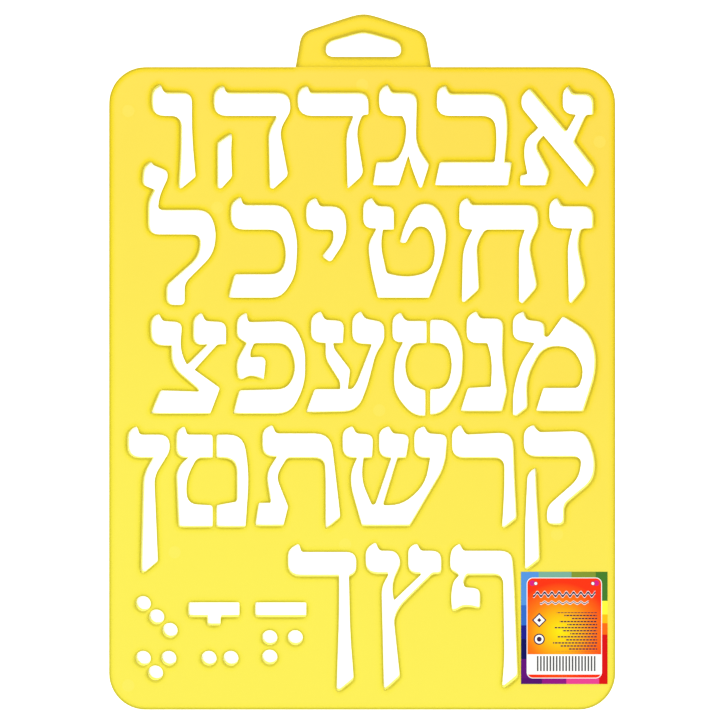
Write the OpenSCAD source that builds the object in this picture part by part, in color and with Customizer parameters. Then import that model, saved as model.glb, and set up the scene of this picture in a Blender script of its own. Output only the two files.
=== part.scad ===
// Lettering stencil: a moulded plate with alphabet openings in five rows, practice marks,
// a thinner hang tab with a slot, and a paper label held by a layer of adhesive.
// The plate lies flat with its front face up and the hang tab towards +Y.
// Origin: middle of the overall outline, on the resting face.

/* [Plate] */
// Width of the plate
plate_w = 208; // [180:1:240]
// Height of the plate without the hang tab
plate_h = 264; // [236:1:300]
// Thickness of the plate
plate_t = 2; // [1.6:0.1:3]
// Radius of the four plate corners
corner_r = 15; // [8:0.5:18]

/* [Hang tab] */
// Middle of the tab and slot to the right of the centre line
tab_x = 0.5; // [-20:0.5:20]
// Width of the tab where it meets the plate
tab_w = 56; // [54:1:70]
// Width of the tab at its shoulders
tab_shoulder_w = 51; // [46:1:54]
// Height of the shoulders above the plate
tab_shoulder_h = 14.5; // [13:0.5:16]
// Height of the peak above the plate
tab_h = 22; // [20:0.5:28]
// Width of the flat on the peak
tab_peak_w = 5; // [2:0.5:12]
// Thickness of the tab, measured from the back
tab_t = 1.3; // [1:0.1:1.6]

/* [Hang slot] */
// Width of the slot
slot_w = 31; // [20:1:36]
// Height of the slot bottom above the plate
slot_bottom = 4.5; // [3:0.5:6]
// Height of the slot ends above the plate
slot_end_h = 10.5; // [8:0.5:11]
// Height of the slot peak above the plate
slot_peak_h = 14.5; // [12:0.5:16]

/* [Letters] */
// Gap between the widest row of letters and the sides of the plate
side_margin = 7.5; // [5:0.5:12]
// Gap between the letter tips of the first row and the top edge of the plate
top_gap = 7; // [4:0.5:12]
// Gap between the deepest stroke and the bottom edge of the plate
bottom_gap = 7.2; // [4:0.1:12]
// Gap between a baseline and the tops of the letters in the next row
row_gap = 8.7; // [7:0.1:12]

/* [Practice marks] */
// Diameter of the round dots
dot_d = 6.2; // [4.5:0.1:7]
// Length of the plain bar and of the bar of the T
bar_l = 21; // [16:0.5:23]
// Width of both bars
bar_w = 6; // [4:0.5:7]
// Bottom edge of both bars above the bottom edge of the plate
bar_y = 38; // [37:0.5:39]
// Width of the stem of the T
stem_w = 5.5; // [3.5:0.5:8]
// Length of the stem of the T below its bar
stem_l = 3.5; // [2:0.5:6]

/* [Label] */
// Width of the label
label_w = 35.5; // [28:0.5:35.5]
// Height of the label
label_h = 46; // [36:0.5:46]
// Gap between the label and the right edge of the plate
label_right = 3.3; // [2.5:0.1:3.5]
// Gap between the label and the bottom edge of the plate
label_bottom = 10.7; // [8:0.1:11]
// Thickness of the label paper
label_t = 0.1; // [0.08:0.01:0.2]
// Thickness of the adhesive layer
adhesive_t = 0.05; // [0.03:0.01:0.1]
// Set-back of the adhesive from the edge of the paper
adhesive_inset = 0.3; // [0.2:0.1:1]

/* [Pin marks] */
// Diameter of the ejector pin marks in the back
pin_mark_d = 5; // [3:0.5:5.5]
// Depth of the ejector pin marks
pin_mark_depth = 0.15; // [0.05:0.05:0.4]

/* [Hidden] */
// Flats used for a full circle
$fn = 40;
// Steps of a long corner curve and of a short one
curve_steps = 5;
short_steps = 2;
// Corner reach below which the short curve is used
short_reach = 1;
// Share of a leg that two neighbouring curves may use together
leg_share = 0.94;
// Run of a cutting tool past each face
past = 1;
// As drawn in the outlines below: height of a letter, height of its tip, depth of the deepest
// stroke and width of the widest row
drawn_h = 38;
drawn_tip = 41.5;
drawn_depth = 21.5;
drawn_row_w = 193;
// Depth to which the tab root reaches into the plate
tab_root = 4;
// Corner reach of the tab shoulders, tab peak, slot ends and bars
shoulder_reach = 4;
peak_reach = 5;
slot_reach = 3.5;
bar_reach = 0.4;
// Width of the flat on the slot peak
slot_peak_w = 3;

bottom_edge = -(plate_h + tab_h) / 2;
top_edge = bottom_edge + plate_h;
right_edge = plate_w / 2;
label_x = right_edge - label_right - label_w;
label_y = bottom_edge + label_bottom;

plate_colour = [1, 0.88, 0.3];
adhesive_colour = [0.9, 0.88, 0.75];
label_colour = [0.95, 0.35, 0.1];

// Letter outlines. Each corner is [x, y, reach]: x from the left side of the letter,
// y from the baseline, reach is how far from the corner its rounding begins.

alef = [
    [3.5, 40, 0.8], [18.5, 22, 1], [22.5, 29, 0.5], [17, 29.5, 4], [17, 38.5, 2],
    [19.5, 41, 0.5], [21, 37.5, 1.5], [29.5, 37.5, 3.5], [29.5, 29, 0.5], [26.5, 29, 1],
    [21.5, 18, 0.5], [30.5, 6.5, 2.5], [27, -1, 0.8], [9, 20.5, 0.3], [5.5, 16.5, 3],
    [11.5, 5.5, 0.8], [10, 0, 0.3], [-0.5, 0, 0.3], [-0.5, 4, 1], [2.5, 4.5, 0.5],
    [1, 12, 3], [1.5, 18.5, 3], [7, 23.5, 0.3], [0, 32, 2], [0, 36.5, 2]
];

bet = [
    [4, 41, 0.5], [5, 37.5, 2], [27.5, 37.5, 6], [29.5, 25, 6], [28, 9.5, 0.3],
    [31, 9.5, 0.3], [29.5, 0, 0.3], [-0.5, 0, 0.3], [1.5, 9.5, 0.6], [24, 9.5, 0.6],
    [25, 18, 6], [24, 28.5, 5.5], [0, 28.5, 5.5], [0.5, 40, 3]
];

gimel = [
    [5.5, 41.5, 0.5], [7, 38, 1.5], [17.5, 38, 4], [17, 16.5, 5], [22.5, 8.5, 0.4],
    [19.5, -1, 0.5], [18.5, -1, 0.5], [15.5, 7, 3], [14, 12.5, 0.8], [10, 0, 0.3],
    [-0.5, 0, 0.3], [1, 9.5, 0.6], [9, 9.5, 3.5], [12.5, 16, 3.5], [13.5, 25, 4],
    [11.5, 28.5, 0.4], [2, 28.5, 5.5], [2, 39.5, 3]
];

dalet = [
    [3.5, 41, 0.8], [4.5, 38, 1], [28.5, 38, 4], [28.5, 29, 0.5], [26, 29, 1.5],
    [23.5, 22.5, 4], [26.5, 4.5, 2.5], [20, -1.5, 0.4], [19.5, 21.5, 4], [22.5, 28.5, 0.6],
    [-0.5, 28.5, 6], [-0.5, 39.5, 3.5]
];

he_body = [
    [3.5, 41, 0.6], [4.5, 38, 1.2], [30.5, 38, 4.5], [31, 30.5, 2], [26.5, 22.5, 3.5],
    [30, 4, 1.5], [24, -1.5, 0.5], [22.5, -1, 0.5], [22, 22, 3], [25.5, 28.5, 0.6],
    [-0.5, 28.5, 5.5], [-0.5, 39.5, 3.5]
];

he_foot = [
    [1, 17.5, 0.3], [6.5, 21.5, 0.7], [7, 20, 0.8], [6.5, 15, 4], [7, 3.5, 1],
    [2.5, -1.5, 1], [1, -1, 0.5]
];

vav = [
    [3, 41.5, 0.6], [4.5, 38, 1.2], [16, 38, 4], [16, 20, 8], [17.5, 3.5, 0.5],
    [11.5, -1.5, 0.8], [10.5, -1, 0.4], [11.5, 15, 8], [11.5, 28.5, 4], [-0.5, 28.5, 5.5],
    [-0.5, 39.5, 3]
];

zayin = [
    [3, 41.5, 0.6], [4.5, 38, 1.5], [17.5, 38, 4], [17.5, 29, 1.2], [12.5, 29, 1.5],
    [11, 22.5, 4], [14.5, 5.5, 2.5], [8.5, -2, 0.6], [7.5, -1, 0.4], [7, 22, 4],
    [9, 29, 0.6], [-0.5, 29, 5], [-0.5, 40, 3]
];

het = [
    [3, 41.5, 0.6], [4.5, 38.5, 1.3], [31.5, 38.5, 4], [32, 30, 2], [28, 22, 4],
    [31.5, 5, 2], [25.5, -2, 0.6], [24, -1, 0.4], [24, 22, 4], [26.5, 28.5, 0.5],
    [10, 28.5, 1.5], [6.5, 22.5, 3.5], [7.5, 4, 1.2], [1.5, -1.5, 0.6], [0.5, -1, 0.4],
    [1, 21, 5], [5, 28.5, 0.5], [-0.5, 29, 3.5], [-0.5, 40, 3]
];

tet = [
    [3, 41.5, 0.6], [5, 38, 2], [12, 38, 3], [12, 28.5, 0.3], [7.5, 28.5, 0.4],
    [6.5, 22, 4], [9, 10.5, 1.2], [17, 8.5, 6], [27.5, 11, 6], [29.5, 20.5, 6],
    [26.5, 29.5, 4.5], [20.5, 30, 4], [17, 23, 0.7], [14.5, 23, 1], [16, 29, 3],
    [21, 39, 4.5], [29, 39, 4.5], [34, 29.5, 6], [32.5, 17, 5], [26.5, 0.5, 0.3],
    [5.5, 0.5, 0.3], [2.5, 13, 5], [1.5, 22.5, 3], [5, 29, 0.6], [-0.5, 29, 4],
    [-0.5, 40, 3]
];

yod = [
    [3.5, 41.5, 0.6], [5, 38, 1.2], [15, 38, 5.5], [16.5, 25.5, 6], [9.5, 15, 1.5],
    [6, 17.5, 0.8], [11, 23.5, 3.5], [10.5, 28.5, 1.5], [-0.5, 28.5, 5.5], [-0.5, 40, 3.5]
];

kaf = [
    [4.5, 42, 0.6], [5.5, 38.5, 1.5], [23.5, 38.5, 5.5], [28, 25, 6], [27, 9, 5],
    [21, 0.5, 4], [-0.5, 0.5, 0.3], [2, 10, 0.8], [21.5, 10, 5], [23.5, 18.5, 4],
    [21, 28.5, 5], [0.5, 28.5, 5.5], [0.5, 39.5, 3]
];

lamed = [
    [2.5, 56.5, 0.6], [3.5, 55, 0.8], [9.5, 52.5, 2], [9.5, 49.5, 1.5], [6, 42, 4],
    [5.5, 36.5, 2], [26.5, 36.5, 5], [29.5, 28, 4], [28.5, 18.5, 5], [16.5, 6.5, 2.5],
    [16.5, -2.5, 2], [9, -2.5, 3], [9, 5.5, 1.5], [22.5, 17.5, 4.5], [23, 26.5, 3.5],
    [1.5, 26.5, 4.5], [1.5, 40.5, 3], [4, 45, 0.4], [-1, 47, 2], [-0.5, 54, 2]
];

mem = [
    [4, 41.5, 0.6], [5, 38, 1.5], [12.5, 37, 2.5], [12.5, 31, 0.8], [14, 31, 0.8],
    [20, 39.5, 1], [30, 33.5, 4], [33.5, 25.5, 4.5], [33.5, 16, 5], [28.5, 0.5, 0.3],
    [9, 0.5, 0.3], [12, 10, 0.6], [26.5, 10, 2], [29, 17.5, 4.5], [24, 27, 5],
    [12, 27.5, 6], [5, 14, 5.5], [5.5, 2, 1.2], [1, -1.5, 0.6], [-0.5, -1, 0.4],
    [-0.5, 8.5, 5], [2.5, 19.5, 4.5], [8.5, 28.5, 0.6], [-0.5, 30, 3.5], [-0.5, 39.5, 3]
];

nun = [
    [5.5, 41.5, 0.6], [7, 38.5, 1.5], [16.5, 38.5, 3.5], [16, 22, 5], [18, 8.5, 1],
    [16, 0.5, 0.3], [-1, 0.5, 0.3], [2, 10, 0.8], [11.5, 10.5, 0.5], [12, 22, 5],
    [10, 28.5, 0.4], [1.5, 28.5, 4.5], [1.5, 39.5, 3]
];

samekh_left = [
    [3, 41, 0.6], [4.5, 37.5, 2], [13.5, 37.5, 0.6], [13.5, 28.5, 0.3], [7.5, 28.5, 3],
    [4, 19.5, 4.5], [6.5, 11, 4], [13, 9, 0.4], [13, -1.5, 0.3], [8, -1.5, 5],
    [0.5, 7.5, 5], [0, 15.5, 4], [1, 23.5, 2.5], [4, 29, 0.5], [-0.5, 28.5, 4],
    [-0.5, 39.5, 3]
];

samekh_right = [
    [15, 38, 1], [23.5, 38, 5.5], [28.5, 28, 5.5], [28, 12.5, 5.5], [20.5, -0.5, 5],
    [15, -1, 0.3], [15, 9.5, 0.6], [21.5, 9.5, 4.5], [24.5, 19, 5], [22, 28.5, 4.5],
    [15, 28.5, 0.3]
];

ayin = [
    [5, 41.5, 0.6], [6.5, 38, 1.5], [14.5, 37.5, 3], [14, 28.5, 0.4], [10, 28.5, 0.4],
    [10.5, 26, 1.2], [17, 17.5, 1], [16, 9.5, 0.6], [18, 9.5, 1.2], [20, 12.5, 2],
    [26, 28, 0.4], [18, 28.5, 4], [18, 39.5, 3], [21.5, 41.5, 0.6], [23, 38.5, 1.5],
    [31, 37, 3], [31, 29.5, 2], [27.5, 24, 3], [24, 10.5, 4], [20, 0.5, 5.5],
    [-1, 0, 0.3], [2.5, 9.5, 1], [13, 9.5, 0.4], [13, 12.5, 1.5], [7, 22, 2.5],
    [7, 28.5, 0.3], [1, 29, 4], [1, 39.5, 3]
];

pe = [
    [4.5, 41, 0.6], [5, 37, 1.5], [23, 37.5, 5.5], [28.5, 27, 5.5], [28.5, 11.5, 6],
    [22.5, -0.5, 5.5], [-1, -0.5, 0.3], [1.5, 9, 0.7], [21.5, 9.5, 4.5], [25, 18, 4.5],
    [22, 28.5, 5], [7.5, 28.5, 0.8], [6, 25, 1], [6, 22.5, 0.5], [12.5, 23, 3],
    [11.5, 13.5, 0.3], [8, 15, 2], [5, 15, 1.2], [2.5, 13.5, 0.7], [1, 14, 0.6],
    [0, 20.5, 3.5], [4.5, 28.5, 0.6], [0.5, 31, 2], [0.5, 39, 3]
];

tsadi = [
    [3, 40.5, 0.8], [4.5, 37.5, 1.2], [12.5, 37, 3], [11.5, 25, 5], [14.5, 19.5, 0.6],
    [23, 28, 0.6], [17, 27.5, 4], [17, 39, 3], [20.5, 41, 0.8], [22, 37.5, 1.2],
    [30.5, 37, 3], [30.5, 28, 0.3], [27, 28, 0.8], [17.5, 17.5, 0.4], [28, 10, 0.7],
    [24, -0.5, 0.3], [-0.5, -0.5, 0.3], [3.5, 9, 0.8], [19.5, 8.5, 0.5], [18.5, 10, 0.5],
    [8, 19, 5], [8, 27.5, 0.3], [-0.5, 27.5, 5.5], [-0.5, 39, 3]
];

qof_head = [
    [3.5, 41.5, 0.6], [5.5, 38.5, 1.5], [25, 39, 5.5], [29, 27, 4.5], [28, 18.5, 4],
    [16, 8.5, 2.5], [16, 0.5, 2], [9, 0.5, 3], [9, 8, 3], [22, 19.5, 4],
    [23.5, 28.5, 3.5], [-0.5, 28.5, 5.5], [-0.5, 40, 3.5]
];

qof_leg = [
    [4.5, 24, 0.6], [1, 22, 3], [0, 0, 5], [0, -18, 0.4], [1, -18, 0.5],
    [6, -14, 1], [5.5, 0, 8], [4.5, 17, 5]
];

resh = [
    [3, 41.5, 0.6], [5, 37.5, 1.5], [24.5, 38.5, 6], [25, 22, 8], [26, 3, 1],
    [21, -1, 0.6], [20, -0.5, 0.3], [21, 14, 8], [21, 28, 4], [-0.5, 28, 5],
    [-0.5, 39.5, 3]
];

shin = [
    [3.5, 41, 0.6], [5, 38, 1.3], [12, 37.5, 3], [11.5, 28, 0.4], [8, 28, 0.4],
    [7, 19, 5], [11.5, 8.5, 1], [13, 9, 0.7], [19.5, 28, 0.4], [14.5, 28, 4.5],
    [14.5, 39.5, 3], [18.5, 41, 0.7], [20, 38, 1.3], [27, 37.5, 3], [25.5, 28, 0.5],
    [22, 28, 0.4], [16, 8.5, 0.7], [24, 8.5, 5.5], [33.5, 17, 6], [35.5, 28, 0.4],
    [29, 28, 4.5], [29, 39.5, 3], [33, 41, 0.7], [34.5, 38, 1.5], [42.5, 37.5, 3],
    [41.5, 24.5, 5.5], [27, 0, 0.3], [7.5, 0, 0.3], [2.5, 17.5, 5], [3.5, 24, 2.5],
    [5.5, 28, 0.5], [-0.5, 28, 4.5], [-0.5, 39.5, 3]
];

tav = [
    [6, 41.5, 0.6], [7.5, 38, 1.3], [30, 38, 6.5], [32.5, 17, 8], [34, 3.5, 0.8],
    [28.5, -1, 0.7], [28, -1, 0.3], [28, 20, 5], [27.5, 28, 4.5], [12, 28, 1.5],
    [7.5, 20.5, 3.5], [12.5, 8, 0.5], [10.5, 0, 0.3], [-1, 0, 0.3], [0.5, 9.5, 0.6],
    [5.5, 9.5, 0.5], [3.5, 21.5, 4], [8, 28.5, 0.5], [2, 28.5, 4.5], [2, 39.5, 3]
];

final_mem_left = [
    [3, 41, 0.8], [4, 37.5, 1], [14.5, 37.5, 1.2], [14.5, 28, 0.3], [8, 28, 2],
    [3.5, 19.5, 5], [4, 9, 4.5], [14.5, 8.5, 1.2], [14.5, -0.5, 0.3], [0.5, -0.5, 0.3],
    [-0.5, 21.5, 2], [1.5, 25.5, 2], [4.5, 28, 0.6], [-0.5, 28, 4], [-0.5, 39, 2.5]
];

final_mem_right = [
    [16, 37.5, 1.2], [27, 37.5, 6], [29.5, 22, 8], [28, -0.5, 0.3], [16, -0.5, 0.3],
    [16, 8.5, 1.2], [24.5, 10, 0.8], [24.5, 28, 6], [16, 28, 0.3]
];

final_nun = [
    [3.5, 41, 0.8], [4.5, 37.5, 1.2], [16.5, 37.5, 4], [17, 31, 2.5], [10.5, 20.5, 3.5],
    [12, -14.5, 0.8], [6, -19.5, 0.7], [5, -19, 0.4], [6, 21, 4], [10, 28, 0.6],
    [-0.5, 28, 5], [-0.5, 39, 3]
];

final_pe = [
    [3.5, 39.5, 0.6], [5, 36.5, 1], [25, 36.5, 5], [26, 24, 8], [27.5, -15.5, 1],
    [22, -20, 0.6], [21, -19.5, 0.3], [22, -8, 5], [21.5, 26.5, 3.5], [6.5, 26.5, 1],
    [5, 23.5, 1.2], [5.5, 21.5, 0.8], [12, 21, 3], [12, 12.5, 0.4], [8.5, 13.5, 2],
    [5, 13.5, 1.5], [1.5, 11.5, 0.6], [0.5, 12, 0.4], [0, 18, 3], [1, 24, 2],
    [3.5, 26.5, 0.6], [0, 28.5, 1.5], [-0.5, 33, 3], [0.5, 37.5, 2]
];

final_tsadi = [
    [3.5, 40, 0.7], [5, 36.5, 1.4], [12, 36.5, 3], [14, 31.5, 2.5], [10, 22.5, 4],
    [11, 16, 0.6], [22.5, 27, 0.6], [17, 27, 4], [17, 38, 2.5], [20.5, 39.5, 0.8],
    [22, 36.5, 1.2], [30.5, 36.5, 4], [30.5, 27, 1.5], [27, 27, 1], [12.5, 12.5, 4.5],
    [11, 7.5, 2], [13.5, -15.5, 1], [7.5, -21, 0.7], [7, -20.5, 0.4], [6, 21.5, 3],
    [9, 27, 0.6], [-0.5, 27, 5], [-0.5, 37.5, 3]
];

final_kaf = [
    [4, 39.5, 1], [5, 36, 1], [27.5, 36, 4], [27.5, 27, 3], [24.5, 26, 0.5],
    [25, 3, 8], [26.5, -16.5, 0.8], [20.5, -21.5, 0.6], [19.5, -21, 0.4], [20.5, 10, 8],
    [20.5, 26, 0.3], [-0.5, 26, 5], [-0.5, 37, 3]
];

// Rows from top to bottom. Each entry is [outline, left side of the letter from the centre line].
rows = [
    [[alef, 65.5], [bet, 30.5], [gimel, 5], [dalet, -26], [he_body, -60.5], [he_foot, -60.5],
     [vav, -86]],
    [[zayin, 77.5], [het, 40.5], [tet, 1], [yod, -22.5], [kaf, -54.5], [lamed, -89.5]],
    [[mem, 62.5], [nun, 41.5], [samekh_left, 13], [samekh_right, 13], [ayin, -22], [pe, -52],
     [tsadi, -86.5]],
    [[qof_head, 67], [qof_leg, 67], [resh, 37.5], [shin, -7.5], [tav, -43],
     [final_mem_left, -76], [final_mem_right, -76], [final_nun, -96]],
    [[final_pe, 36.5], [final_tsadi, 2], [final_kaf, -30]]
];

// Letters fill the width between the side margins and the height left by the gaps
row_steps = len(rows) - 1;
stretch_x = (plate_w - 2 * side_margin) / drawn_row_w;
stretch_y = (plate_h - top_gap - bottom_gap - row_steps * row_gap)
    / (drawn_tip + row_steps * drawn_h + drawn_depth);
row_pitch = stretch_y * drawn_h + row_gap;
first_baseline = top_edge - top_gap - stretch_y * drawn_tip;

// Centres of the dots from the centre line and from the bottom edge of the plate
dots = [
    [-90, 43.5], [-84.5, 38], [-79, 32.5],
    [-90, 21], [-79.5, 21], [-85, 15],
    [-63, 21], [-54, 21],
    [-38, 29.5], [-27.5, 29.5], [-38, 21.5]
];
// Left ends of the bar of the T and of the plain bar from the centre line
t_bar_x = -71.5;
plain_bar_x = -44;

// Centres of the pin marks: x from the centre line, y in baselines down from the first
pin_marks = [
    [-96, -0.65], [0, -0.88], [97.5, -0.38], [-59.5, 0.2], [7, 1.98],
    [-77, 3.23], [-7, 3.16], [80, 3.07], [-96, 4.4]
];

// Outline fitted to the width and height of a row
function fitted(path) = [
    for (p = path) [stretch_x * p[0], stretch_y * p[1], min(stretch_x, stretch_y) * p[2]]
];

// Flat position of a corner without its reach
function flat(p) = [p[0], p[1]];

// Direction of length one from p to q
function towards(p, q) = (q - p) / norm(q - p);

// Reach of corner i towards corner j, shared in proportion when the leg is short
function reach(path, i, j) =
    let (
        leg = leg_share * norm(flat(path[j]) - flat(path[i])),
        both = path[i][2] + path[j][2]
    )
    both > leg ? leg * path[i][2] / both : path[i][2];

// Points of the curve that rounds corner i
function rounded(path, i) =
    let (
        before = (i + len(path) - 1) % len(path),
        after = (i + 1) % len(path),
        tip = flat(path[i]),
        start = tip + towards(tip, flat(path[before])) * reach(path, i, before),
        end = tip + towards(tip, flat(path[after])) * reach(path, i, after),
        steps = path[i][2] < short_reach ? short_steps : curve_steps
    )
    [for (k = [0 : steps])
        let (t = k / steps)
        start * (1 - t) * (1 - t) + tip * 2 * t * (1 - t) + end * t * t];

// Closed outline with every corner rounded
module soft_outline(path) {
    polygon([for (i = [0 : len(path) - 1]) each rounded(path, i)]);
}

module plate_outline() {
    difference() {
        square([plate_w, plate_h], center = true);
        for (sx = [-1, 1], sy = [-1, 1])
            scale([sx, sy])
                translate([plate_w / 2 - corner_r, plate_h / 2 - corner_r])
                    difference() {
                        square(corner_r + past);
                        circle(corner_r, $fn = 64);
                    }
    }
}

module tab_outline() {
    soft_outline([
        [-tab_w / 2, -tab_root, 0.5],
        [-tab_w / 2, 0, 0.5],
        [-tab_shoulder_w / 2, tab_shoulder_h, shoulder_reach],
        [-tab_peak_w / 2, tab_h, peak_reach],
        [tab_peak_w / 2, tab_h, peak_reach],
        [tab_shoulder_w / 2, tab_shoulder_h, shoulder_reach],
        [tab_w / 2, 0, 0.5],
        [tab_w / 2, -tab_root, 0.5]
    ]);
}

module slot_outline() {
    soft_outline([
        [-slot_w / 2, slot_bottom, slot_reach],
        [-slot_w / 2, slot_end_h, slot_reach],
        [-slot_peak_w / 2, slot_peak_h, slot_reach],
        [slot_peak_w / 2, slot_peak_h, slot_reach],
        [slot_w / 2, slot_end_h, slot_reach],
        [slot_w / 2, slot_bottom, slot_reach]
    ]);
}

// T with its bar on top; its lower left bar corner is the origin
module t_outline() {
    stem_left = (bar_l - stem_w) / 2;
    soft_outline([
        [0, 0, bar_reach],
        [stem_left, 0, bar_reach],
        [stem_left, -stem_l, bar_reach],
        [stem_left + stem_w, -stem_l, bar_reach],
        [stem_left + stem_w, 0, bar_reach],
        [bar_l, 0, bar_reach],
        [bar_l, bar_w, bar_reach],
        [0, bar_w, bar_reach]
    ]);
}

module bar_outline() {
    soft_outline([
        [0, 0, bar_reach],
        [bar_l, 0, bar_reach],
        [bar_l, bar_w, bar_reach],
        [0, bar_w, bar_reach]
    ]);
}

// Cutting tool through the plate from a flat outline
module through() {
    translate([0, 0, -past])
        linear_extrude(plate_t + 2 * past)
            children();
}

module letter_cuts() {
    for (n = [0 : len(rows) - 1], entry = rows[n])
        translate([stretch_x * entry[1], first_baseline - n * row_pitch, 0])
            through()
                soft_outline(fitted(entry[0]));
}

module mark_cuts() {
    for (c = dots)
        translate([stretch_x * c[0], bottom_edge + c[1], -past])
            cylinder(d = dot_d, h = plate_t + 2 * past);
    translate([stretch_x * t_bar_x, bottom_edge + bar_y, 0])
        through()
            t_outline();
    translate([stretch_x * plain_bar_x, bottom_edge + bar_y, 0])
        through()
            bar_outline();
}

module pin_mark_cuts() {
    for (c = pin_marks)
        translate([stretch_x * c[0], first_baseline - c[1] * row_pitch, -past])
            cylinder(d = pin_mark_d, h = past + pin_mark_depth);
}

module stencil_plate() {
    color(plate_colour)
        difference() {
            union() {
                translate([0, bottom_edge + plate_h / 2, 0])
                    linear_extrude(plate_t)
                        plate_outline();
                translate([tab_x, top_edge, 0])
                    linear_extrude(tab_t)
                        tab_outline();
            }
            translate([tab_x, top_edge, 0])
                through()
                    slot_outline();
            letter_cuts();
            mark_cuts();
            pin_mark_cuts();
        }
}

module label_adhesive() {
    color(adhesive_colour)
        translate([label_x + adhesive_inset, label_y + adhesive_inset, plate_t])
            cube([label_w - 2 * adhesive_inset, label_h - 2 * adhesive_inset, adhesive_t]);
}

module label_face() {
    color(label_colour)
        translate([label_x, label_y, plate_t + adhesive_t])
            cube([label_w, label_h, label_t]);
}

stencil_plate();
label_adhesive();
label_face();
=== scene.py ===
"""Looks of the lettering stencil: translucent plate, adhesive film, printed label and stage.

Every length is in metres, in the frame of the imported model.
"""

import math

import bmesh
import bpy
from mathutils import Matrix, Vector


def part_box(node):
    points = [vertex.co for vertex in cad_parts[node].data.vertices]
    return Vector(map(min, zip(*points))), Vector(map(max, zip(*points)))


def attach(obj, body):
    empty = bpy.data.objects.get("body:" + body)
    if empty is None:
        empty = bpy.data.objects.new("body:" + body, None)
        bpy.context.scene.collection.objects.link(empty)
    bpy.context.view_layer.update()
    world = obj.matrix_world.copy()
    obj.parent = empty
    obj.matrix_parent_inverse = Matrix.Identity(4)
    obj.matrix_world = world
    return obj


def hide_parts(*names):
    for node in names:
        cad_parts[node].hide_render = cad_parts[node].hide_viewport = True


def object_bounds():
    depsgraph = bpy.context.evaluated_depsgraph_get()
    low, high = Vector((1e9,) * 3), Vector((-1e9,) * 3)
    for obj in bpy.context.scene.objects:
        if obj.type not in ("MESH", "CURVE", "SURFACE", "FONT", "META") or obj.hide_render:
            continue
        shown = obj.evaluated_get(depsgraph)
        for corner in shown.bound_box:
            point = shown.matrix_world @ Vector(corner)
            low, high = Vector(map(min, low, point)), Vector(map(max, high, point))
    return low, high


bl_info = {
    "name": "Lettering stencil",
    "version": (1, 0, 0),
    "blender": (4, 5, 0),
    "location": "3D View > Sidebar > Stencil",
    "description": "Dresses a packed lettering stencil as moulded plastic with a paper label",
    "category": "Object",
}

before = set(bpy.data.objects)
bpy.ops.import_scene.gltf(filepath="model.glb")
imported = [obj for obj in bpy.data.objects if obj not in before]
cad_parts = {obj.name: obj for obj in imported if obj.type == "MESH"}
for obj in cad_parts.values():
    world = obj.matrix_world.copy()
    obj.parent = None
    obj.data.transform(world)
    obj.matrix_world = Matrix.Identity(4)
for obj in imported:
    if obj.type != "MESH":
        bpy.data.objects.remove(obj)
CAD_LOW, CAD_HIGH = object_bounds()
PLATE_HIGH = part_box("stencil_plate")[1]
LABEL_LOW, LABEL_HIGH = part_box("label_face")

MM = 0.001
BODY = "root"

# Meshes
SHARP_ANGLE = math.radians(35)
COPLANAR_ANGLE = math.radians(0.5)
WELD_DISTANCE = 0.001 * MM
SHALLOWEST = 0.6 * MM  # least height of a wall whose edges are rounded
ROUNDING_STEPS = 2
FLAT_FACE_WEIGHT = 100

# Plate: tones, and where the painted edge shade fades, as shares of the outline's height
TONES_BEGIN = 0.1
TONES_END = 0.95
TAB_BEGINS = 0.923
BAND_WEAKEST_AT = 0.15
BAND_FULL_AT = 0.8
CLOUD_SCALE = 18.0
CLOUD_STRENGTH = 0.3

# Plate: how far the surface turns within reach of an edge, where 1 is not at all; it places the
# painted edge shade band and the painted dark line
BEVEL_SAMPLES = 16
SHADE_BAND_TURNS = ((0.975, 1.0), (0.999, 0.0))
SHADE_LINE_TURNS = ((0.78, 1.0), (0.84, 0.0))

# Plate: how level the surface is, from 0 on a wall to 1 on a face; it places the painted shade
# on the rims and the painted light on the walls
RIM_SHADE_LEVELS = ((0.25, 0.0), (0.5, 1.0), (0.97, 0.0))
WALL_LIGHT_LEVELS = ((0.05, 1.0), (0.3, 0.0))

# Plate: grain and shine
PLATE_GRAIN = {"scale": 900.0, "depth": 0.01 * MM, "strength": 0.12}
PLATE_SPECULAR = 0.15

# Plate: where the pin marks in the back show through it, x and y in millimetres
PIN_MARKS = (
    (-96.0, 102.9),
    (0.0, 113.6),
    (97.5, 90.2),
    (-59.5, 63.2),
    (7.0, -20.0),
    (-77.0, -78.3),
    (-7.0, -75.1),
    (80.0, -70.9),
    (-96.0, -133.0),
)
PIN_MARK_RADIUS = 2.5 * MM

# Adhesive
FILM_MOTTLE_SCALE = 400.0
FILM_TONES = ((0.3, (0.85, 0.8, 0.6)), (0.7, (0.95, 0.92, 0.8)))
FILM_ROUGHNESS = 0.5

# Label: colour blocks, each from a share of the side's length on
BLOCKS_ACROSS_TOP = (
    (0.0, (0.059, 0.201, 0.488)),
    (0.2, (0.131, 0.288, 0.217)),
    (0.58, (0.144, 0.201, 0.020)),
    (0.86, (0.037, 0.131, 0.015)),
)
BLOCKS_ACROSS_BOTTOM = (
    (0.0, (0.052, 0.002, 0.097)),
    (0.24, (0.186, 0.003, 0.144)),
    (0.52, (0.531, 0.037, 0.186)),
    (0.9, (0.463, 0.002, 0.002)),
)
BLOCKS_UP_LEFT = (
    (0.0, (0.077, 0.002, 0.119)),
    (0.22, (0.002, 0.002, 0.068)),
    (0.4, (0.006, 0.006, 0.171)),
    (0.52, (0.020, 0.097, 0.392)),
    (0.7, (0.059, 0.201, 0.488)),
)
BLOCKS_UP_RIGHT = (
    (0.0, (0.463, 0.002, 0.002)),
    (0.44, (0.627, 0.097, 0.002)),
    (0.54, (0.657, 0.348, 0.002)),
    (0.62, (0.657, 0.657, 0.031)),
    (0.74, (0.037, 0.131, 0.015)),
)

# Label: inks
INK = (0.03, 0.01, 0.04)
STRIPE_INK = (0.06, 0.06, 0.06)
DOT_INK = (0.45, 0.01, 0.15)
WHITE = (0.68, 0.68, 0.66)

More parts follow.
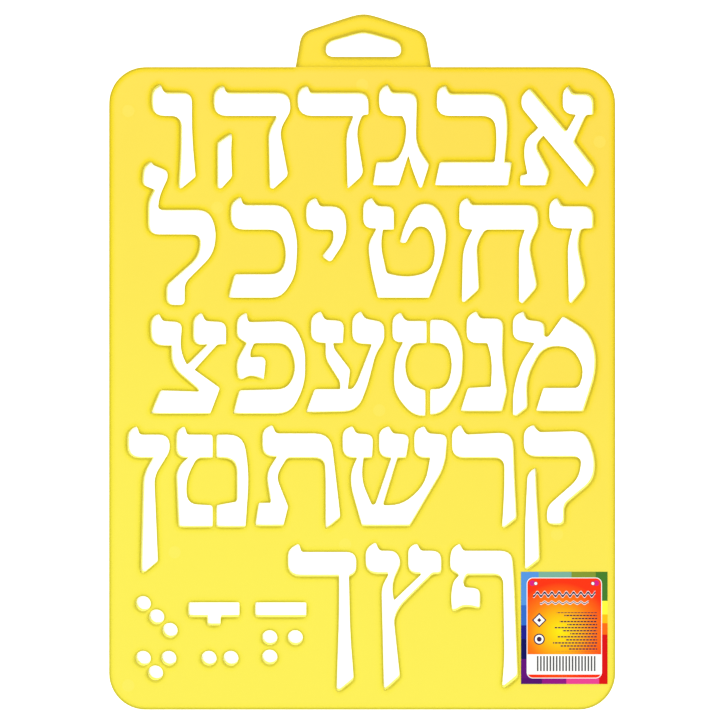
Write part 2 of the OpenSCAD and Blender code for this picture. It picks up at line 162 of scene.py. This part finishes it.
# Label: the panel's glow, with its centre and reach as shares of the label's sides
GLOW_CENTRE = (0.45, 0.47)
GLOW_REACH = (0.62, 0.46)
GLOW_BETWEEN = ((0.3, (0.66, 0.36, 0.002)), (0.62, (0.65, 0.13, 0.002)))
GLOW_ENDS = 0.95
PANEL_LINE = 0.3 * MM

# Label: strokes and rules; low, high, bottom, top and up are shares of the label's sides
WAVE_TURNS = 75.0  # radians over the label's width
WAVE_OUTLINE = 0.25 * MM
WAVES = (
    {"up": 0.80, "swing": 0.75 * MM, "thickness": 0.45 * MM, "low": 0.14, "high": 0.86},
    {"up": 0.725, "swing": 0.4 * MM, "thickness": 0.2 * MM, "low": 0.22, "high": 0.78},
)
RULES = {"low": 0.36, "high": 0.88, "bottom": 0.29, "top": 0.64}
RULE_PITCH = 1.25 * MM
RULE_INK_SHARE = (0.28, 0.72)  # from where to where ink lies in a row
RULE_SCATTER = 0.618  # sets the rows off against each other
RULE_SHORTENING = 0.45  # most that a rule is cut short by, as a share of its length
RULE_DASHES = 26.0
RULE_GAP = 0.22

# Label: marks and dots
MARKS_ACROSS = 0.21
ROUND_MARK_UP = 0.4
ROUND_MARK_RADIUS = 2.3 * MM
ROUND_MARK_HEART = 1.0 * MM
SQUARE_MARK_UP = 0.57
SQUARE_MARK_REACH = 3.0 * MM
SQUARE_MARK_HEART = 0.3  # share of its reach
MARK_FILL = 0.78  # share of a mark's reach inside its outline
DOT_PAIRS = ((0.13, 0.17), (0.87, 0.83))  # coloured dot and white dot, across
DOT_UP = 0.9
DOT_RADIUS = 1.1 * MM
WHITE_DOT_UP = 0.897
WHITE_DOT_RADIUS = 0.8 * MM

# Label: the white strip and its even stripes
STRIP_UP = (0.085, 0.265)
STRIPES_ACROSS = (0.17, 0.86)
STRIPES_UP = (0.115, 0.25)
STRIPE_PITCH = 1.3 * MM
STRIPE_SHARE = 0.5

# Label: paper
PAPER_GRAIN = {"scale": 2500.0, "depth": 0.004 * MM, "strength": 0.3}
PAPER_ROUGHNESS = 0.45
PAPER_SPECULAR = 0.06

# Stage
FLOOR_HALF = 3.0
FLOOR_GAP = 0.2 * MM  # how far the floor lies under the plate
FLOOR_ROUGHNESS = 0.9
LAMP_PLACE = Vector((-0.25, 1.0, 1.0))
SENSOR_WIDTH = 36.0
EYE_X = 0.0
EYE_Y = 30.2 * MM
# The principal point stands a tenth of the picture above its middle
VIEW_SHIFT = (-0.003, -0.1)
CLIP_START = 0.01
CLIP_END = 10.0


class PlateSettings(bpy.types.PropertyGroup):
    """Finish of the moulded plate, with its painted edge shade and painted wall light."""

    edge_radius: bpy.props.FloatProperty(
        name="Edge radius",
        description="Radius of the moulded edges of plate, tab and openings",
        default=0.2 * MM,
        unit="LENGTH",
    )
    # Reach of the painted shade band along each edge
    band_reach: bpy.props.FloatProperty(
        name="Band reach",
        description="Radius from which the deeper band along each edge is worked out",
        default=4.5 * MM,
        unit="LENGTH",
    )
    # How far the painted dark shade line runs down each wall
    line_depth: bpy.props.FloatProperty(
        name="Line depth",
        description="How far the dark line at each edge runs down the wall",
        default=0.35 * MM,
        unit="LENGTH",
    )
    tone_low: bpy.props.FloatVectorProperty(
        name="Lower tone",
        description="Colour of the plastic at the end away from the hang tab",
        default=(0.69, 0.610, 0.058),
        subtype="COLOR",
    )
    tone_high: bpy.props.FloatVectorProperty(
        name="Upper tone",
        description="Colour of the plastic at the hang tab",
        default=(0.69, 0.515, 0.052),
        subtype="COLOR",
    )
    tone_tab: bpy.props.FloatVectorProperty(
        name="Tab tone",
        description="Colour of the thinner hang tab",
        default=(0.69, 0.53, 0.025),
        subtype="COLOR",
    )
    tone_mark: bpy.props.FloatVectorProperty(
        name="Mark tone",
        description="Paler colour towards which the plastic turns over the pin marks",
        default=(0.70, 0.66, 0.16),
        subtype="COLOR",
    )
    mark_strength: bpy.props.FloatProperty(
        name="Mark strength",
        description="How much of the paler colour shows over the pin marks",
        default=0.16,
        subtype="FACTOR",
    )
    side_fall: bpy.props.FloatProperty(
        name="Side fall",
        description="How much deeper the tone is at the right edge than at the left",
        default=0.35,
        subtype="FACTOR",
    )
    # Painted shade: each edge gets a deeper, more saturated band
    band_shade: bpy.props.FloatVectorProperty(
        name="Band shade",
        description="What the plastic's colour is multiplied by in a band along each edge",
        default=(0.99, 0.97, 0.0),
        subtype="COLOR",
    )
    # The painted edge shade is weaker at the end away from the hang tab
    band_low: bpy.props.FloatProperty(
        name="Band at the lower end",
        description="Share of the band's strength at the end away from the hang tab",
        default=0.3,
        subtype="FACTOR",
    )
    # Painted shade: a thin dark line along each edge
    line_shade: bpy.props.FloatVectorProperty(
        name="Line shade",
        description="What the colour is multiplied by in the thin line at each edge",
        default=(0.5, 0.5, 0.0),
        subtype="COLOR",
    )
    # Painted shade: the rounded rims are darkened
    rim_shade: bpy.props.FloatVectorProperty(
        name="Rim shade",
        description="Colour of the rounded rim itself",
        default=(0.36, 0.28, 0.005),
        subtype="COLOR",
    )
    # Painted light: the walls of the openings are made pale, as if lit by light leaving the
    # plastic
    wall_light: bpy.props.FloatVectorProperty(
        name="Wall light",
        description="Colour of the walls of the openings, where light leaves the plastic",
        default=(0.78, 0.76, 0.12),
        subtype="COLOR",
    )
    clarity: bpy.props.FloatProperty(
        name="Clarity",
        description="Share of light that passes and isn't scattered",
        default=0.12,
        subtype="FACTOR",
    )
    polish: bpy.props.FloatProperty(
        name="Roughness",
        description="Roughness of the moulded faces",
        default=0.3,
        subtype="FACTOR",
    )


class LabelSettings(bpy.types.PropertyGroup):
    """Print and paper of the label."""

    border: bpy.props.FloatProperty(
        name="Border",
        description="Width of the band of colour blocks round the panel",
        default=2.3 * MM,
        unit="LENGTH",
    )
    panel_radius: bpy.props.FloatProperty(
        name="Panel corner radius",
        description="Radius of the corners of the printed panel",
        default=2.6 * MM,
        unit="LENGTH",
    )
    panel_edge: bpy.props.FloatVectorProperty(
        name="Panel edge colour",
        description="Colour of the panel away from its middle",
        default=(0.64, 0.022, 0.002),
        subtype="COLOR",
    )
    panel_middle: bpy.props.FloatVectorProperty(
        name="Panel middle colour",
        description="Colour of the panel at its middle",
        default=(0.68, 0.55, 0.002),
        subtype="COLOR",
    )


class StageSettings(bpy.types.PropertyGroup):
    """Floor, light and camera."""

    floor_colour: bpy.props.FloatVectorProperty(
        name="Floor colour",
        description="Colour of the plain floor",
        default=(0.96, 0.96, 0.96),
        subtype="COLOR",
    )
    floor_light: bpy.props.FloatProperty(
        name="Floor light",
        description="Strength of the even light that the floor gives off, as a light table does",
        default=0.3,
    )
    sky: bpy.props.FloatProperty(
        name="Surrounding light",
        description="Strength of the even light from all sides",
        default=1.25,
    )
    lamp_strength: bpy.props.FloatProperty(
        name="Lamp strength",
        description="Strength of the wide soft lamp beyond the hang tab",
        default=1.6,
    )
    lamp_spread: bpy.props.FloatProperty(
        name="Lamp spread",
        description="Angle over which the soft lamp spreads",
        default=math.radians(40),
        subtype="ANGLE",
    )
    eye_height: bpy.props.FloatProperty(
        name="Camera height",
        description="Height of the camera above the plate's front face",
        default=253 * MM,
        unit="LENGTH",
    )
    view_width: bpy.props.FloatProperty(
        name="View width",
        description="Width that the picture shows at the plate's front face",
        default=295.6 * MM,
        unit="LENGTH",
    )


def welded_copy(node):
    """A bmesh copy of a node's mesh in which neighbouring faces share their corners."""
    made = bmesh.new()
    made.from_mesh(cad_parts[node].data)
    bmesh.ops.remove_doubles(made, verts=made.verts, dist=WELD_DISTANCE)
    return made


def finished_mesh(made, name):
    """Turns a bmesh into a mesh with smooth shading that breaks at sharp edges."""
    mesh = bpy.data.meshes.new(name)
    made.to_mesh(mesh)
    made.free()
    if not mesh.polygons:
        raise RuntimeError(name + " came out empty")
    mesh.shade_smooth()
    mesh.set_sharp_from_angle(angle=SHARP_ANGLE)
    return mesh


def new_piece(mesh, material, node):
    """Links a mesh, under its own name, as a piece that stands for a node."""
    mesh.materials.append(material)
    piece = bpy.data.objects.new(mesh.name, mesh)
    bpy.context.scene.collection.objects.link(piece)
    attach(piece, BODY)
    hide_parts(node)
    return piece


class Nodes:
    """Short way to build a node tree of colours and masks."""

    def __init__(self, name):
        self.material = bpy.data.materials.new(name)
        self.material.use_nodes = True
        self.tree = self.material.node_tree
        self.shader = self.tree.nodes["Principled BSDF"]

    def add(self, kind, **values):
        node = self.tree.nodes.new(kind)
        for key, value in values.items():
            setattr(node, key, value)
        return node

    def put(self, socket, value):
        """Links a socket's value or sets it, with colours given as three numbers."""
        if isinstance(value, bpy.types.NodeSocket):
            self.tree.links.new(value, socket)
        elif socket.type == "RGBA":
            socket.default_value = (*value, 1.0)
        else:
            socket.default_value = value

    def math(self, operation, a, b=0.0, clamp=False):
        node = self.add("ShaderNodeMath", operation=operation, use_clamp=clamp)
        self.put(node.inputs[0], a)
        self.put(node.inputs[1], b)
        return node.outputs[0]

    def length(self, a, b):
        squares = [self.math("POWER", value, 2.0) for value in (a, b)]
        return self.math("SQRT", self.math("ADD", *squares))

    def mix(self, share, a, b, blend="MIX"):
        node = self.add("ShaderNodeMix", data_type="RGBA", blend_type=blend)
        self.put(node.inputs["Factor"], share)
        self.put(node.inputs[6], a)
        self.put(node.inputs[7], b)
        return node.outputs[2]

    def ramp(self, share, stops, steps=False):
        """Colours at the given places, in steps or with slow changes between them."""
        node = self.add("ShaderNodeValToRGB")
        ramp = node.color_ramp
        ramp.interpolation = "CONSTANT" if steps else "LINEAR"
        while len(ramp.elements) > 1:
            ramp.elements.remove(ramp.elements[-1])
        for number, (place, colour) in enumerate(stops):
            stop = ramp.elements[0] if number == 0 else ramp.elements.new(place)
            stop.position = place
            stop.color = (*colour, 1.0)
        self.put(node.inputs[0], share)
        return node.outputs[0]

    def mask(self, value, stops):
        """Strengths at the given places, with slow changes between them."""
        return self.ramp(value, [(place, (strength,) * 3) for place, strength in stops])

    def parts(self, kind):
        """The x, y and z of a texture coordinate, such as Object or Normal."""
        coordinates = self.add("ShaderNodeTexCoord")
        node = self.add("ShaderNodeSeparateXYZ")
        self.put(node.inputs[0], coordinates.outputs[kind])
        return node.outputs

    def noise(self, scale):
        coordinates = self.add("ShaderNodeTexCoord")
        node = self.add("ShaderNodeTexNoise")
        self.put(node.inputs["Vector"], coordinates.outputs["Object"])
        self.put(node.inputs["Scale"], scale)
        return node.outputs[0]

    def grain(self, scale, depth, strength):
        node = self.add("ShaderNodeBump")
        self.put(node.inputs["Height"], self.noise(scale))
        self.put(node.inputs["Distance"], depth)
        self.put(node.inputs["Strength"], strength)
        self.put(self.shader.inputs["Normal"], node.outputs[0])

    def finish(self, **values):
        """Sets the shader's sockets and gives the material."""
        for key, value in values.items():
            self.put(self.shader.inputs[key.replace("_", " ")], value)
        return self.material


def tone_over_plate(nodes, settings, place, share):
    """The plastic's tone: lower to upper, left to right, on the tab and over the pin marks."""
    cloud = nodes.math("SUBTRACT", nodes.noise(CLOUD_SCALE), 0.5)
    cloud = nodes.math("MULTIPLY", cloud, CLOUD_STRENGTH)
    side = nodes.math("MULTIPLY", place[0], settings.side_fall / (CAD_HIGH.x - CAD_LOW.x))
    colour = nodes.ramp(
        nodes.math("ADD", share, nodes.math("ADD", cloud, side), clamp=True),
        ((TONES_BEGIN, settings.tone_low), (TONES_END, settings.tone_high)),
    )
    on_tab = nodes.math("GREATER_THAN", share, TAB_BEGINS)
    colour = nodes.mix(on_tab, colour, settings.tone_tab)
    for mark in PIN_MARKS:
        away = [nodes.math("SUBTRACT", place[axis], mark[axis] * MM) for axis in (0, 1)]
        near = nodes.math("LESS_THAN", nodes.length(*away), PIN_MARK_RADIUS)
        strength = nodes.math("MULTIPLY", near, settings.mark_strength)
        colour = nodes.mix(strength, colour, settings.tone_mark)
    return colour


def shade_along_edges(nodes, settings, share, colour):
    """Paints shade along each edge: a deeper band, which grows weaker away from the tab, and a
    dark line.
    """
    soft = nodes.add("ShaderNodeBevel", samples=BEVEL_SAMPLES)
    nodes.put(soft.inputs["Radius"], settings.band_reach)
    turn = nodes.add("ShaderNodeVectorMath", operation="DOT_PRODUCT")
    nodes.put(turn.inputs[0], soft.outputs[0])
    nodes.put(turn.inputs[1], nodes.add("ShaderNodeNewGeometry").outputs["True Normal"])
    turned = turn.outputs["Value"]
    fade = nodes.mask(share, ((BAND_WEAKEST_AT, settings.band_low), (BAND_FULL_AT, 1.0)))
    band = nodes.math("MULTIPLY", nodes.mask(turned, SHADE_BAND_TURNS), fade)
    colour = nodes.mix(band, colour, settings.band_shade, "MULTIPLY")
    line = nodes.mask(turned, SHADE_LINE_TURNS)
    return nodes.mix(line, colour, settings.line_shade, "MULTIPLY")


def shade_rims_and_light_walls(nodes, settings, place, colour):
    """Paints shade on the rounded rims and in a dark line down the top of each wall, and paints
    light on the pale walls below.
    """
    level = nodes.math("ABSOLUTE", nodes.parts("Normal")[2])
    colour = nodes.mix(nodes.mask(level, RIM_SHADE_LEVELS), colour, settings.rim_shade)
    near_face = nodes.math("GREATER_THAN", place[2], PLATE_HIGH.z - settings.line_depth)
    wall_light_and_shade = nodes.mix(near_face, settings.wall_light, settings.rim_shade)
    return nodes.mix(nodes.mask(level, WALL_LIGHT_LEVELS), colour, wall_light_and_shade)


def plate_plastic(settings):
    """Translucent moulded plastic, deeper in tone towards the hang tab, with painted shade along
    every edge and on the rims and painted light on the walls.
    """
    nodes = Nodes("plate_plastic")
    place = nodes.parts("Object")
    height = nodes.math("SUBTRACT", place[1], CAD_LOW.y)
    share = nodes.math("DIVIDE", height, CAD_HIGH.y - CAD_LOW.y)
    colour = tone_over_plate(nodes, settings, place, share)
    colour = shade_along_edges(nodes, settings, share, colour)
    colour = shade_rims_and_light_walls(nodes, settings, place, colour)
    nodes.grain(**PLATE_GRAIN)
    return nodes.finish(
        Base_Color=colour,
        Roughness=settings.polish,
        Specular_IOR_Level=PLATE_SPECULAR,
        Transmission_Weight=settings.clarity,
    )


def is_rim(edge):
    """True for a square edge of a wall that is deep enough to take a rounding."""
    if len(edge.link_faces) != 2 or edge.calc_face_angle() < SHARP_ANGLE * 2:
        return False
    rises = []
    for face in edge.link_faces:
        levels = [v.co.z for v in face.verts]
        rises.append(max(levels) - min(levels))
    return max(rises) > SHALLOWEST


class STENCIL_OT_plate(bpy.types.Operator):
    """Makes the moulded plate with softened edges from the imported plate's outline"""

    bl_idname = "stencil.plate"
    bl_label = "Plate"

    def execute(self, context):
        settings = context.scene.stencil_plate
        made = welded_copy("stencil_plate")
        bmesh.ops.dissolve_limit(
            made,
            angle_limit=COPLANAR_ANGLE,
            verts=made.verts,
            edges=made.edges,
        )
        bmesh.ops.bevel(
            made,
            geom=[e for e in made.edges if is_rim(e)],
            offset=settings.edge_radius,
            offset_type="OFFSET",
            segments=ROUNDING_STEPS,
            profile=0.5,
            affect="EDGES",
            clamp_overlap=False,
        )
        bmesh.ops.triangulate(made, faces=[f for f in made.faces if len(f.verts) > 4])
        mesh = finished_mesh(made, "plate_moulding")
        piece = new_piece(mesh, plate_plastic(settings), "stencil_plate")
        # Keeps the wide faces flat and the turn of the shading inside the rounded edges
        level = piece.modifiers.new("level_faces", "WEIGHTED_NORMAL")
        level.keep_sharp = True
        level.weight = FLAT_FACE_WEIGHT
        return {"FINISHED"}


def film_of_adhesive():
    """Cloudy film with a faint mottle."""
    nodes = Nodes("adhesive_film")
    colour = nodes.ramp(nodes.noise(FILM_MOTTLE_SCALE), FILM_TONES)
    return nodes.finish(Base_Color=colour, Roughness=FILM_ROUGHNESS)


class STENCIL_OT_adhesive(bpy.types.Operator):
    """Gives the layer under the label its cloudy film"""

    bl_idname = "stencil.adhesive"
    bl_label = "Adhesive"

    def execute(self, context):
        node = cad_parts["label_adhesive"]
        node.data.materials.clear()
        node.data.materials.append(film_of_adhesive())
        return {"FINISHED"}


class Print(Nodes):
    """Shapes and colours laid one over another on the label, in metres from its lower left."""

    def __init__(self, name):
        super().__init__(name)
        place = self.parts("Object")
        self.width = LABEL_HIGH.x - LABEL_LOW.x
        self.height = LABEL_HIGH.y - LABEL_LOW.y
        self.x = self.math("SUBTRACT", place[0], LABEL_LOW.x)
        self.y = self.math("SUBTRACT", place[1], LABEL_LOW.y)
        self.across = self.math("DIVIDE", self.x, self.width)
        self.up = self.math("DIVIDE", self.y, self.height)
        self.colour = WHITE

    def paint(self, mask, colour):
        self.colour = self.mix(mask, self.colour, colour)

    def below(self, value, limit):
        return self.math("LESS_THAN", value, limit)

    def above(self, value, limit):
        return self.math("GREATER_THAN", value, limit)

    def between(self, value, low, high):
        return self.both(self.above(value, low), self.below(value, high))

    def both(self, a, b):
        return self.math("MULTIPLY", a, b)

    def away(self, value, middle):
        return self.math("ABSOLUTE", self.math("SUBTRACT", value, middle))

    def from_point(self, across, up):
        """Distances from a point, along x and along y."""
        return self.away(self.x, across * self.width), self.away(self.y, up * self.height)

    def from_rounded_panel(self, border, radius):
        """Distance outside a rounded rectangle about the label's middle, negative inside."""
        dx, dy = self.from_point(0.5, 0.5)
        qx = self.math("SUBTRACT", dx, self.width / 2 - border - radius)
        qy = self.math("SUBTRACT", dy, self.height / 2 - border - radius)
        outside = self.length(self.math("MAXIMUM", qx, 0.0), self.math("MAXIMUM", qy, 0.0))
        inside = self.math("MINIMUM", self.math("MAXIMUM", qx, qy), 0.0)
        return self.math("SUBTRACT", self.math("ADD", outside, inside), radius)

    def blocks(self, border):
        """A band of colour blocks along the four sides."""
        self.colour = self.ramp(self.up, BLOCKS_UP_RIGHT, steps=True)
        for area, share, stops in (
            (self.below(self.across, 0.5), self.up, BLOCKS_UP_LEFT),
            (self.above(self.y, self.height - border), self.across, BLOCKS_ACROSS_TOP),
            (self.below(self.y, border), self.across, BLOCKS_ACROSS_BOTTOM),
        ):
            self.paint(area, self.ramp(share, stops, steps=True))

    def glow(self, edge, middle):
        """Warm colours from the edge of the panel to its middle."""
        reaches = [
            self.math("DIVIDE", self.away(value, centre), reach)
            for value, centre, reach in zip((self.across, self.up), GLOW_CENTRE, GLOW_REACH)
        ]
        stops = ((0.0, middle), *GLOW_BETWEEN, (GLOW_ENDS, edge))
        return self.ramp(self.length(*reaches), stops)

    def wave(self, up, swing, thickness, low, high):
        """A brush stroke that rises and falls, with a pale outline."""
        turns = self.math("MULTIPLY", self.across, WAVE_TURNS)
        rise = self.math("MULTIPLY", self.math("SINE", turns), swing)
        far = self.away(self.y, self.math("ADD", rise, up * self.height))
        span = self.between(self.across, low, high)
        self.paint(self.both(self.below(far, thickness + WAVE_OUTLINE), span), WHITE)
        self.paint(self.both(self.below(far, thickness), span), INK)

    def rules(self, low, high, bottom, top):
        """A block of thin broken rules, each of its own length."""
        rows = self.math("DIVIDE", self.y, RULE_PITCH)
        thin = self.between(self.math("FRACT", rows), *RULE_INK_SHARE)
        number = self.math("FLOOR", rows)
        shift = self.math("FRACT", self.math("MULTIPLY", number, RULE_SCATTER))
        start = self.math("MULTIPLY", shift, (high - low) * RULE_SHORTENING)
        begun = self.above(self.math("SUBTRACT", self.across, start), low)
        steps = self.math("MULTIPLY", self.across, RULE_DASHES)
        dashes = self.above(self.math("FRACT", self.math("ADD", steps, shift)), RULE_GAP)
        area = self.both(self.below(self.across, high), self.between(self.up, bottom, top))
        self.paint(self.both(self.both(thin, dashes), self.both(begun, area)), INK)

    def round_mark(self, across, up, radius, ring, fill):
        far = self.length(*self.from_point(across, up))
        self.paint(self.below(far, radius), ring)
        self.paint(self.below(far, radius * MARK_FILL), fill)

    def square_mark(self, across, up, reach):
        far = self.math("ADD", *self.from_point(across, up))
        self.paint(self.below(far, reach), INK)
        self.paint(self.below(far, reach * MARK_FILL), WHITE)
        self.paint(self.below(far, reach * SQUARE_MARK_HEART), INK)

    def striped_strip(self):
        """A white strip with even dark stripes."""
        self.paint(self.between(self.up, *STRIP_UP), WHITE)
        stripe = self.math("FRACT", self.math("DIVIDE", self.x, STRIPE_PITCH))
        area = self.both(
            self.between(self.across, *STRIPES_ACROSS), self.between(self.up, *STRIPES_UP)
        )
        self.paint(self.both(self.below(stripe, STRIPE_SHARE), area), STRIPE_INK)


def label_print(settings):
    """Colour blocks round a warm panel with plain strokes, rules and stripes."""
    label = Print("label_print")
    label.blocks(settings.border)
    distance = label.from_rounded_panel(settings.border, settings.panel_radius)
    label.paint(label.below(distance, 0.0), WHITE)
    sheet = label.colour

    label.colour = label.glow(settings.panel_edge, settings.panel_middle)
    for wave in WAVES:
        label.wave(**wave)
    label.rules(**RULES)
    label.round_mark(MARKS_ACROSS, ROUND_MARK_UP, ROUND_MARK_RADIUS, INK, WHITE)
    label.round_mark(MARKS_ACROSS, ROUND_MARK_UP, ROUND_MARK_HEART, INK, INK)
    label.square_mark(MARKS_ACROSS, SQUARE_MARK_UP, SQUARE_MARK_REACH)
    for across, white in DOT_PAIRS:
        label.round_mark(across, DOT_UP, DOT_RADIUS, DOT_INK, DOT_INK)
        label.round_mark(white, WHITE_DOT_UP, WHITE_DOT_RADIUS, INK, WHITE)
    label.striped_strip()
    panel = label.colour

    label.colour = sheet
    label.paint(label.below(distance, -PANEL_LINE), panel)
    label.grain(**PAPER_GRAIN)
    return label.finish(
        Base_Color=label.colour,
        Roughness=PAPER_ROUGHNESS,
        Specular_IOR_Level=PAPER_SPECULAR,
    )


class STENCIL_OT_label(bpy.types.Operator):
    """Makes the printed paper label"""

    bl_idname = "stencil.label"
    bl_label = "Label"

    def execute(self, context):
        mesh = finished_mesh(welded_copy("label_face"), "label_sheet")
        material = label_print(context.scene.stencil_label)
        new_piece(mesh, material, "label_face")
        return {"FINISHED"}


def even_light(strength):
    """A world that gives the same light from all sides."""
    world = bpy.data.worlds.new("even_light")
    world.use_nodes = True
    background = world.node_tree.nodes["Background"]
    background.inputs["Color"].default_value = (1.0, 1.0, 1.0, 1.0)
    background.inputs["Strength"].default_value = strength
    return world


def plain_floor(settings):
    """A wide pale floor just under the plate, which also gives off some light."""
    half = FLOOR_HALF
    corners = [(-half, -half, 0), (half, -half, 0), (half, half, 0), (-half, half, 0)]
    mesh = bpy.data.meshes.new("floor")
    mesh.from_pydata(corners, [], [(0, 1, 2, 3)])
    mesh.materials.append(
        Nodes("floor_paint").finish(
            Base_Color=settings.floor_colour,
            Roughness=FLOOR_ROUGHNESS,
            Emission_Color=settings.floor_colour,
            Emission_Strength=settings.floor_light,
        )
    )
    floor = bpy.data.objects.new("floor", mesh)
    floor.location.z = CAD_LOW.z - FLOOR_GAP
    return floor


def soft_lamp(settings):
    """A wide soft lamp beyond the hang tab, turned to the plate."""
    lamp = bpy.data.lights.new("soft_lamp", "SUN")
    lamp.energy = settings.lamp_strength
    lamp.angle = settings.lamp_spread
    shade = bpy.data.objects.new("soft_lamp", lamp)
    shade.location = LAMP_PLACE
    shade.rotation_euler = (-LAMP_PLACE).to_track_quat("-Z", "Y").to_euler()
    return shade


def camera_above(settings):
    """A camera that looks straight down on the plate."""
    camera = bpy.data.cameras.new("camera")
    camera.sensor_width = SENSOR_WIDTH
    camera.lens = camera.sensor_width * settings.eye_height / settings.view_width
    camera.shift_x, camera.shift_y = VIEW_SHIFT
    camera.clip_start = CLIP_START
    camera.clip_end = CLIP_END
    eye = bpy.data.objects.new("camera", camera)
    eye.location = (EYE_X, EYE_Y, PLATE_HIGH.z + settings.eye_height)
    return eye


class STENCIL_OT_stage(bpy.types.Operator):
    """Sets the plain floor, the soft light and the camera"""

    bl_idname = "stencil.stage"
    bl_label = "Stage"

    def execute(self, context):
        settings = context.scene.stencil_stage
        scene = context.scene
        scene.view_settings.view_transform = "Standard"
        scene.world = even_light(settings.sky)
        floor = plain_floor(settings)
        eye = camera_above(settings)
        for thing in (floor, soft_lamp(settings), eye):
            scene.collection.objects.link(thing)
        scene.camera = eye
        return {"FINISHED"}


class STENCIL_PT_panel(bpy.types.Panel):
    """Lists the pieces of the stencil"""

    bl_idname = "STENCIL_PT_panel"
    bl_label = "Lettering stencil"
    bl_space_type = "VIEW_3D"
    bl_region_type = "UI"
    bl_category = "Stencil"

    def draw(self, context):
        for settings, operator in (
            (context.scene.stencil_plate, STENCIL_OT_plate),
            (None, STENCIL_OT_adhesive),
            (context.scene.stencil_label, STENCIL_OT_label),
            (context.scene.stencil_stage, STENCIL_OT_stage),
        ):
            box = self.layout.box()
            box.operator(operator.bl_idname)
            for name in settings.__annotations__ if settings else ():
                box.prop(settings, name)


CLASSES = (
    PlateSettings,
    LabelSettings,
    StageSettings,
    STENCIL_OT_plate,
    STENCIL_OT_adhesive,
    STENCIL_OT_label,
    STENCIL_OT_stage,
    STENCIL_PT_panel,
)
SETTINGS = {
    "stencil_plate": PlateSettings,
    "stencil_label": LabelSettings,
    "stencil_stage": StageSettings,
}


def register():
    for made in CLASSES:
        bpy.utils.register_class(made)
    for name, group in SETTINGS.items():
        setattr(bpy.types.Scene, name, bpy.props.PointerProperty(type=group))


def unregister():
    for name in SETTINGS:
        delattr(bpy.types.Scene, name)
    for made in reversed(CLASSES):
        bpy.utils.unregister_class(made)


def main():
    register()
    bpy.ops.stencil.stage()
    bpy.ops.stencil.plate()
    bpy.ops.stencil.adhesive()
    bpy.ops.stencil.label()


if __name__ == "__main__":
    main()
